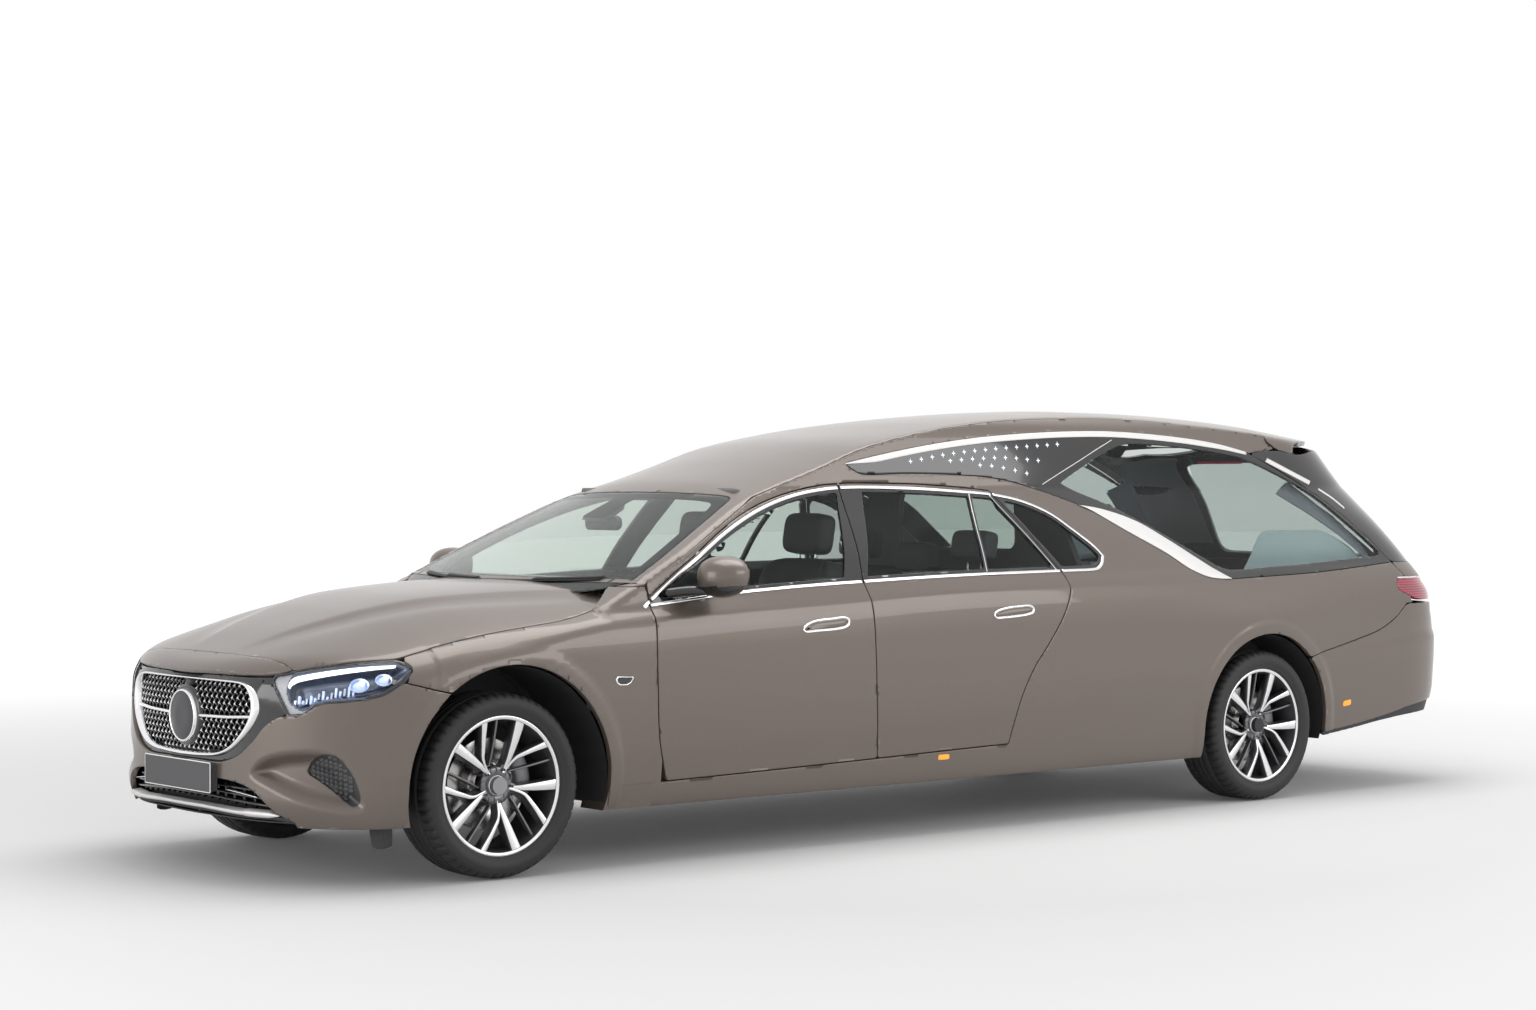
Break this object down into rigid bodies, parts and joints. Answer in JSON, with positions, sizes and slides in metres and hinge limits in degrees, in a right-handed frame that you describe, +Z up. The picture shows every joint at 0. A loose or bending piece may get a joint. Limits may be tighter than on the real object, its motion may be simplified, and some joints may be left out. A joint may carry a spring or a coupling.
{
  "type": "hearse",
  "caption": "Long estate-bodied funeral car with a glazed load deck, opening doors, hood and tailgate, steered front wheels and rolling wheels.",
  "frame": {"origin": "bottom centre of the whole car's box, on the ground", "axes": "+X to the rear of the car, +Y to the car's right, +Z up"},
  "size_m": [6.7648, 2.21, 1.8348],
  "materials": {
    "body_paint": "metallic taupe",
    "tyre": "matt",
    "wheel_alloy": "machined",
    "iron": "machined",
    "glass": "clear",
    "lamp_lens": "clear over bright",
    "tail_lens": "clear red",
    "black_plastic": "gloss",
    "upholstery": "woven",
    "deck_steel": "brushed",
    "engine_alloy": "cast",
    "chassis_steel": "coated",
    "dark_steel": "satin"
  },
  "bodies": {
    "body": {"coffin_deck": "deck_steel", "cowl_sides": "body_paint", "dashboard": "black_plastic", "engine": "engine_alloy", "exhaust": "chassis_steel", "fenders": "body_paint", "firewall": "dark_steel", "floor": "dark_steel", "front_bumper": "body_paint", "front_panel": "dark_steel", "front_plate": "black_plastic", "front_seats": "upholstery", "front_subframe": "chassis_steel", "grille": "black_plastic", "headlamps": "lamp_lens", "inner_fenders": "dark_steel", "partition": "upholstery", "quarter_panels": "body_paint", "rear_axle": "chassis_steel", "rear_bumper": "body_paint", "rear_seats": "upholstery", "roof": "body_paint", "side_frames": "body_paint", "side_windows": "glass", "sills": "body_paint", "steering_wheel": "black_plastic", "tail_lamps": "tail_lens", "wheel_houses": "dark_steel", "windscreen": "glass"},
    "hood": {"hood": "body_paint"},
    "tailgate": {"tailgate": "body_paint", "tailgate_glass": "glass"},
    "front_door_left": {"front_door_left": "body_paint", "front_door_frame_left": "body_paint", "front_door_glass_left": "glass", "mirror_left": "body_paint"},
    "front_door_right": {"front_door_right": "body_paint", "front_door_frame_right": "body_paint", "front_door_glass_right": "glass", "mirror_right": "body_paint"},
    "rear_door_left": {"rear_door_left": "body_paint", "rear_door_glass_left": "glass"},
    "rear_door_right": {"rear_door_right": "body_paint", "rear_door_glass_right": "glass"},
    "knuckle_left": {"knuckle_front_left": "iron"},
    "knuckle_right": {"knuckle_front_right": "iron"},
    "wheel_front_left": {"tyre_front_left": "tyre", "rim_front_left": "wheel_alloy", "brake_disc_front_left": "iron"},
    "wheel_front_right": {"tyre_front_right": "tyre", "rim_front_right": "wheel_alloy", "brake_disc_front_right": "iron"},
    "wheel_rear_left": {"tyre_rear_left": "tyre", "rim_rear_left": "wheel_alloy", "brake_disc_rear_left": "iron"},
    "wheel_rear_right": {"tyre_rear_right": "tyre", "rim_rear_right": "wheel_alloy", "brake_disc_rear_right": "iron"}
  },
  "joints": [
    {"name": "hood_hinge", "type": "hinge", "parent": "body", "child": "hood", "pos_m": [-1.7935, 0, 1.125], "axis": [0, 1, 0], "range_deg": [0, 55]},
    {"name": "tailgate_hinge", "type": "hinge", "parent": "body", "child": "tailgate", "pos_m": [2.1125, 0, 1.816], "axis": [0, -1, 0], "range_deg": [0, 80]},
    {"name": "front_door_left_hinge", "type": "hinge", "parent": "body", "child": "front_door_left", "pos_m": [-1.7725, -0.946, 0.7], "axis": [0, 0, -1], "range_deg": [0, 70]},
    {"name": "front_door_right_hinge", "type": "hinge", "parent": "body", "child": "front_door_right", "pos_m": [-1.7725, 0.946, 0.7], "axis": [0, 0, 1], "range_deg": [0, 70]},
    {"name": "rear_door_left_hinge", "type": "hinge", "parent": "body", "child": "rear_door_left", "pos_m": [-0.6245, -0.946, 0.7], "axis": [0, 0, -1], "range_deg": [0, 70]},
    {"name": "rear_door_right_hinge", "type": "hinge", "parent": "body", "child": "rear_door_right", "pos_m": [-0.6245, 0.946, 0.7], "axis": [0, 0, 1], "range_deg": [0, 70]},
    {"name": "steer_left", "type": "hinge", "parent": "body", "child": "knuckle_left", "pos_m": [-2.4775, -0.7, 0.352], "axis": [0, 0, 1], "range_deg": [-32, 32]},
    {"name": "steer_right", "type": "hinge", "parent": "body", "child": "knuckle_right", "pos_m": [-2.4775, 0.7, 0.352], "axis": [0, 0, 1], "range_deg": [-32, 32]},
    {"name": "spin_front_left", "type": "hinge", "parent": "knuckle_left", "child": "wheel_front_left", "pos_m": [-2.4775, -0.8025, 0.352], "axis": [0, 1, 0], "continuous": true},
    {"name": "spin_front_right", "type": "hinge", "parent": "knuckle_right", "child": "wheel_front_right", "pos_m": [-2.4775, 0.8025, 0.352], "axis": [0, 1, 0], "continuous": true},
    {"name": "spin_rear_left", "type": "hinge", "parent": "body", "child": "wheel_rear_left", "pos_m": [1.8285, -0.8095, 0.352], "axis": [0, 1, 0], "continuous": true},
    {"name": "spin_rear_right", "type": "hinge", "parent": "body", "child": "wheel_rear_right", "pos_m": [1.8285, 0.8095, 0.352], "axis": [0, 1, 0], "continuous": true}
  ],
  "couplings": [
    {"joint": "steer_right", "follows": "steer_left", "ratio": 1}
  ]
}
